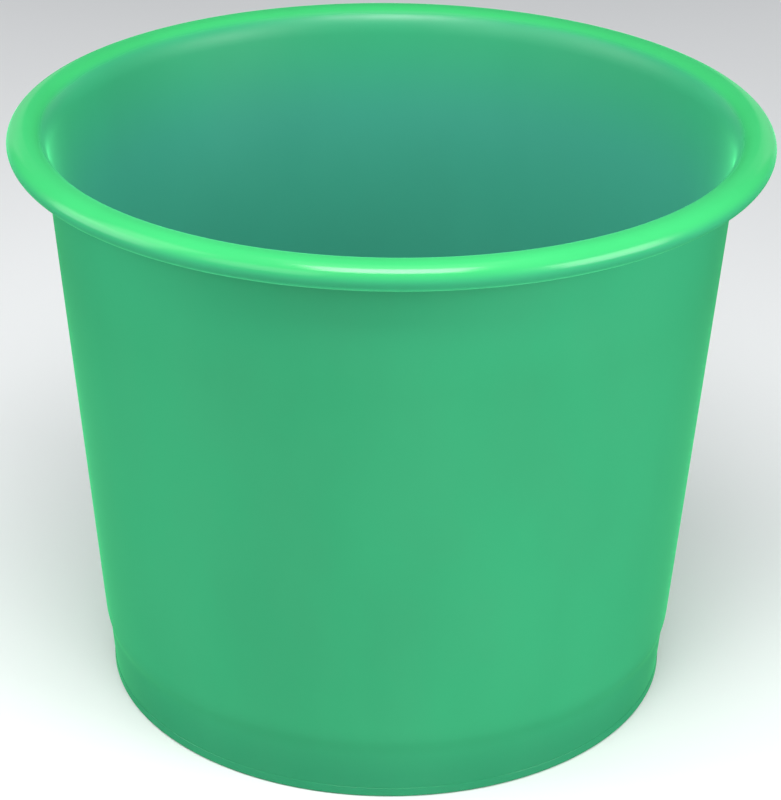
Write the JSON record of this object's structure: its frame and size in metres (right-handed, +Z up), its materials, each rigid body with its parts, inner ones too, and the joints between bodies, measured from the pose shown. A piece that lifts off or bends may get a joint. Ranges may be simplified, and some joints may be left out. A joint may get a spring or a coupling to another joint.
{
  "type": "florist bucket",
  "caption": "Tapered round florist display bucket in gloss plastic, with an open mouth, a rolled rim, a stacking step near the base and a foot ring.",
  "frame": {"origin": "centre of the face that the bucket stands on", "axes": "+Z up along the axis of the round bucket, out of its mouth; +X and +Y are alike, because the bucket is round"},
  "size_m": [0.2899, 0.29, 0.232],
  "materials": {
    "moulded_plastic": "gloss emerald green, coloured through"
  },
  "bodies": {
    "root": {"rim_flare": "moulded_plastic", "rim_roll": "moulded_plastic", "side_wall": "moulded_plastic", "stacking_step": "moulded_plastic", "base_band": "moulded_plastic", "floor_corner": "moulded_plastic", "floor_panel": "moulded_plastic", "foot_ring": "moulded_plastic"}
  },
  "joints": []
}
